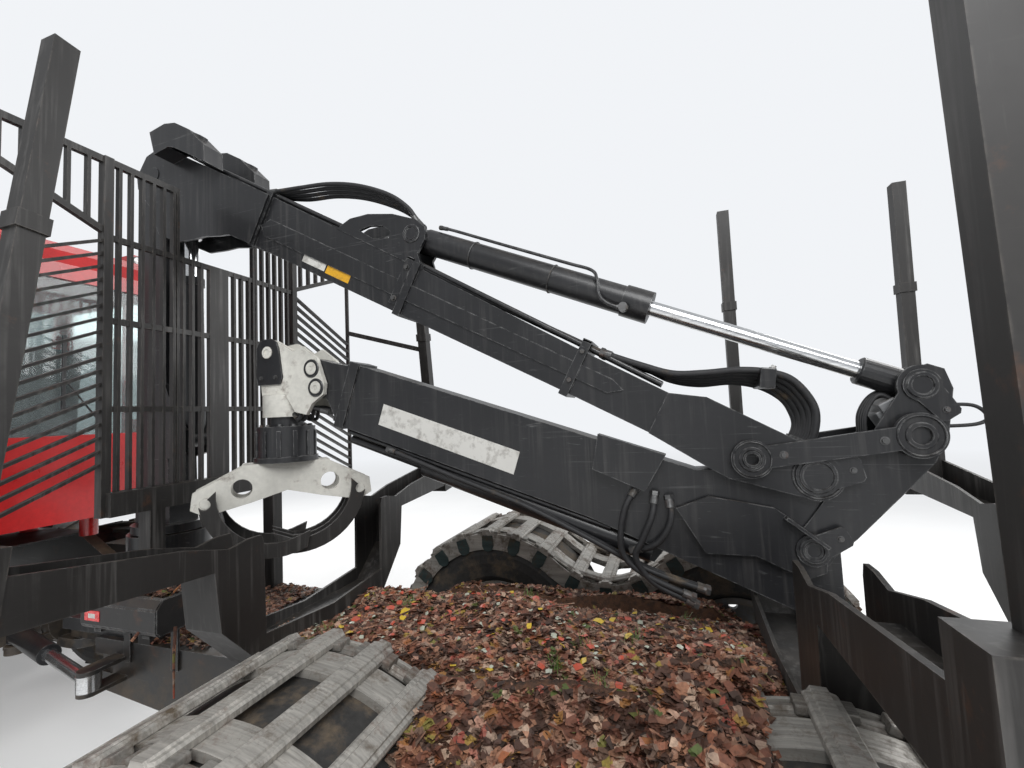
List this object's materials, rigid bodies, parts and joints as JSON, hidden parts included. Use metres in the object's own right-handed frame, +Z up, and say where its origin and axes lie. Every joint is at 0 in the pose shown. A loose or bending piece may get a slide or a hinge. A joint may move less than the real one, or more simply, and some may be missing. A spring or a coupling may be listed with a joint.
{
  "type": "forestry forwarder",
  "caption": "Articulated timber forwarder with bogie wheels, tracks at the rear, load bunks with stakes, a barred gate and a folded grapple crane.",
  "frame": {"origin": "middle of the footprint on the ground", "axes": "+X to the nose, +Y to the left side, +Z up"},
  "size_m": [9.9, 3.08, 4.1093],
  "materials": {
    "black_paint": "satin black paint, scratched",
    "red_paint": "gloss red paint",
    "grey_paint": "grey paint, worn",
    "worn_grey": "light grey paint worn to the casting",
    "rusty": "black paint, rusty and scraped",
    "chrome": "hard chrome",
    "tyre": "rubber, dusty",
    "rim": "grey paint",
    "track_steel": "worn bare steel with rust",
    "glass": "tinted glass",
    "seat": "dark cloth",
    "iron": "engine casting"
  },
  "bodies": {
    "front_half": {"front_frame": "grey_paint", "engine_block": "iron", "cab_body": "red_paint", "cab_glass": "glass", "cab_seat": "seat", "front_fenders": "black_paint", "front_axle": "grey_paint"},
    "hood": {"engine_hood": "red_paint"},
    "door": {"cab_door": "red_paint", "door_glass": "glass"},
    "bogie_front_left": {"front_bogie_left": "grey_paint"},
    "bogie_front_right": {"front_bogie_right": "grey_paint"},
    "wheel_left_1": {"tyre_left_1": "tyre", "rim_left_1": "rim"},
    "wheel_left_2": {"tyre_left_2": "tyre", "rim_left_2": "rim"},
    "wheel_right_1": {"tyre_right_1": "tyre", "rim_right_1": "rim"},
    "wheel_right_2": {"tyre_right_2": "tyre", "rim_right_2": "rim"},
    "yoke": {"centre_joint": "grey_paint"},
    "rear_half": {"rear_frame": "black_paint", "rear_axle": "grey_paint", "load_bunks": "rusty", "load_stakes": "rusty", "load_gate": "rusty", "crane_base": "black_paint"},
    "steer_cyl_left": {"steer_barrel_left": "black_paint"},
    "steer_cyl_right": {"steer_barrel_right": "black_paint"},
    "steer_piston_left": {"steer_rod_left": "chrome"},
    "steer_piston_right": {"steer_rod_right": "chrome"},
    "bogie_rear_left": {"rear_bogie_left": "grey_paint", "rear_tyres_left": "tyre", "rear_rims_left": "rim", "track_left": "track_steel"},
    "bogie_rear_right": {"rear_bogie_right": "grey_paint", "rear_tyres_right": "tyre", "rear_rims_right": "rim", "track_right": "track_steel"},
    "pillar": {"crane_pillar": "black_paint"},
    "boom": {"main_boom": "black_paint"},
    "lift_cyl": {"lift_barrel": "black_paint"},
    "lift_piston": {"lift_rod": "chrome"},
    "knee_cyl": {"knee_barrel": "black_paint"},
    "knee_piston": {"knee_rod": "chrome"},
    "links": {"knee_links": "black_paint"},
    "crank": {"knee_crank": "black_paint"},
    "jib_arm": {"jib": "black_paint"},
    "extension": {"jib_extension": "black_paint"},
    "hanger": {"tip_link": "worn_grey"},
    "rotator_body": {"rotator": "black_paint", "grapple_frame": "worn_grey"},
    "jaw_a": {"jaw_front": "rusty"},
    "jaw_b": {"jaw_rear": "rusty"}
  },
  "joints": [
    {"name": "door_hinge", "type": "hinge", "parent": "front_half", "child": "door", "pos_m": [2.678, 0.815, 1.56], "axis": [0, 0, -1], "range_deg": [0, 80]},
    {"name": "hood_hinge", "type": "hinge", "parent": "front_half", "child": "hood", "pos_m": [4.725, 0, 1.44], "axis": [0, 1, 0], "range_deg": [0, 50]},
    {"name": "bogie_front_left_swing", "type": "hinge", "parent": "front_half", "child": "bogie_front_left", "pos_m": [3.055, 0.65, 0.67], "axis": [0, 1, 0], "range_deg": [-15, 15]},
    {"name": "wheel_left_1_spin", "type": "hinge", "parent": "bogie_front_left", "child": "wheel_left_1", "pos_m": [3.805, 1.1, 0.66], "axis": [0, 1, 0], "continuous": true},
    {"name": "wheel_left_2_spin", "type": "hinge", "parent": "bogie_front_left", "child": "wheel_left_2", "pos_m": [2.305, 1.1, 0.66], "axis": [0, 1, 0], "continuous": true},
    {"name": "bogie_front_right_swing", "type": "hinge", "parent": "front_half", "child": "bogie_front_right", "pos_m": [3.055, -0.65, 0.67], "axis": [0, 1, 0], "range_deg": [-15, 15]},
    {"name": "wheel_right_1_spin", "type": "hinge", "parent": "bogie_front_right", "child": "wheel_right_1", "pos_m": [3.805, -1.1, 0.66], "axis": [0, 1, 0], "continuous": true},
    {"name": "wheel_right_2_spin", "type": "hinge", "parent": "bogie_front_right", "child": "wheel_right_2", "pos_m": [2.305, -1.1, 0.66], "axis": [0, 1, 0], "continuous": true},
    {"name": "roll_joint", "type": "hinge", "parent": "front_half", "child": "yoke", "pos_m": [1.255, 0, 0.95], "axis": [1, 0, 0], "range_deg": [-15, 15]},
    {"name": "steer_joint", "type": "hinge", "parent": "yoke", "child": "rear_half", "pos_m": [0.955, 0, 0.95], "axis": [0, 0, 1], "range_deg": [-40, 40]},
    {"name": "steer_cyl_left_pivot", "type": "hinge", "parent": "yoke", "child": "steer_cyl_left", "pos_m": [1.105, 0.33, 0.95], "axis": [0, 0, 1], "range_deg": [-45, 45]},
    {"name": "steer_cyl_left_stroke", "type": "slide", "parent": "steer_cyl_left", "child": "steer_piston_left", "axis": [-0.9742, 0.2258, 0], "range_m": [-0.25, 0.25]},
    {"name": "steer_cyl_right_pivot", "type": "hinge", "parent": "yoke", "child": "steer_cyl_right", "pos_m": [1.105, -0.33, 0.95], "axis": [0, 0, 1], "range_deg": [-45, 45]},
    {"name": "steer_cyl_right_stroke", "type": "slide", "parent": "steer_cyl_right", "child": "steer_piston_right", "axis": [-0.9742, -0.2258, 0], "range_m": [-0.25, 0.25]},
    {"name": "bogie_rear_left_swing", "type": "hinge", "parent": "rear_half", "child": "bogie_rear_left", "pos_m": [-2.495, 0.65, 0.728], "axis": [0, 1, 0], "range_deg": [-10, 10]},
    {"name": "bogie_rear_right_swing", "type": "hinge", "parent": "rear_half", "child": "bogie_rear_right", "pos_m": [-2.495, -0.65, 0.728], "axis": [0, 1, 0], "range_deg": [-10, 10]},
    {"name": "crane_slew", "type": "hinge", "parent": "rear_half", "child": "pillar", "pos_m": [0.2, 0, 1.38], "axis": [0, 0, 1], "range_deg": [-4, 4]},
    {"name": "boom_hinge", "type": "hinge", "parent": "pillar", "child": "boom", "pos_m": [0.2, 0, 3.897], "axis": [0, 1, 0], "range_deg": [0, 80]},
    {"name": "lift_cyl_pivot", "type": "hinge", "parent": "pillar", "child": "lift_cyl", "pos_m": [0, 0, 2.15], "axis": [0, 1, 0], "range_deg": [-15, 15]},
    {"name": "lift_cyl_stroke", "type": "slide", "parent": "lift_cyl", "child": "lift_piston", "axis": [0.0155, 0, 0.9999], "range_m": [0, 0.5]},
    {"name": "jib_hinge", "type": "hinge", "parent": "boom", "child": "jib_arm", "pos_m": [-3.47558, 0, 1.90849], "axis": [0, 1, 0], "range_deg": [0, 5]},
    {"name": "knee_cyl_pivot", "type": "hinge", "parent": "boom", "child": "knee_cyl", "pos_m": [-1.70127, 0, 3.1873], "axis": [0, 1, 0], "range_deg": [-10, 10]},
    {"name": "knee_cyl_stroke", "type": "slide", "parent": "knee_cyl", "child": "knee_piston", "axis": [-0.9153, 0, -0.4027], "range_m": [-0.85, 0]},
    {"name": "knee_link_pivot", "type": "hinge", "parent": "boom", "child": "links", "pos_m": [-3.24562, 0, 1.97939], "axis": [0, 1, 0], "range_deg": [0, 85]},
    {"name": "knee_crank_pivot", "type": "hinge", "parent": "jib_arm", "child": "crank", "pos_m": [-3.44035, 0, 1.62036], "axis": [0, 1, 0], "range_deg": [-70, 0]},
    {"name": "extension_slide", "type": "slide", "parent": "jib_arm", "child": "extension", "axis": [0.9461, 0, 0.3239], "range_m": [0, 0.05]},
    {"name": "tip_hinge", "type": "hinge", "parent": "extension", "child": "hanger", "pos_m": [-1.03567, 0, 2.51554], "axis": [0, 1, 0], "range_deg": [-3, 3]},
    {"name": "rotator_spin", "type": "hinge", "parent": "hanger", "child": "rotator_body", "pos_m": [-0.76, 0, 2], "axis": [0, 0, 1], "continuous": true},
    {"name": "jaw_front_hinge", "type": "hinge", "parent": "rotator_body", "child": "jaw_a", "pos_m": [-0.48214, 0.28774, 1.8], "axis": [0.7193, -0.6947, 0], "range_deg": [0, 50]},
    {"name": "jaw_rear_hinge", "type": "hinge", "parent": "rotator_body", "child": "jaw_b", "pos_m": [-1.03786, -0.28774, 1.8], "axis": [-0.7193, 0.6947, 0], "range_deg": [0, 50]}
  ],
  "couplings": [
    {"joint": "steer_cyl_left_pivot", "follows": "steer_joint", "ratio": 0.952},
    {"joint": "steer_cyl_right_pivot", "follows": "steer_joint", "ratio": 0.952},
    {"joint": "steer_cyl_left_stroke", "follows": "steer_joint", "m_per_rad": 0.329},
    {"joint": "steer_cyl_right_stroke", "follows": "steer_joint", "m_per_rad": -0.329},
    {"joint": "lift_cyl_pivot", "follows": "boom_hinge", "ratio": -0.09},
    {"joint": "lift_cyl_stroke", "follows": "boom_hinge", "m_per_rad": 0.346},
    {"joint": "knee_cyl_pivot", "follows": "jib_hinge", "ratio": 0.069},
    {"joint": "knee_cyl_stroke", "follows": "jib_hinge", "m_per_rad": -0.2556},
    {"joint": "knee_link_pivot", "follows": "jib_hinge", "ratio": 0.42},
    {"joint": "knee_crank_pivot", "follows": "jib_hinge", "ratio": -0.28},
    {"joint": "jaw_rear_hinge", "follows": "jaw_front_hinge", "ratio": 1}
  ]
}
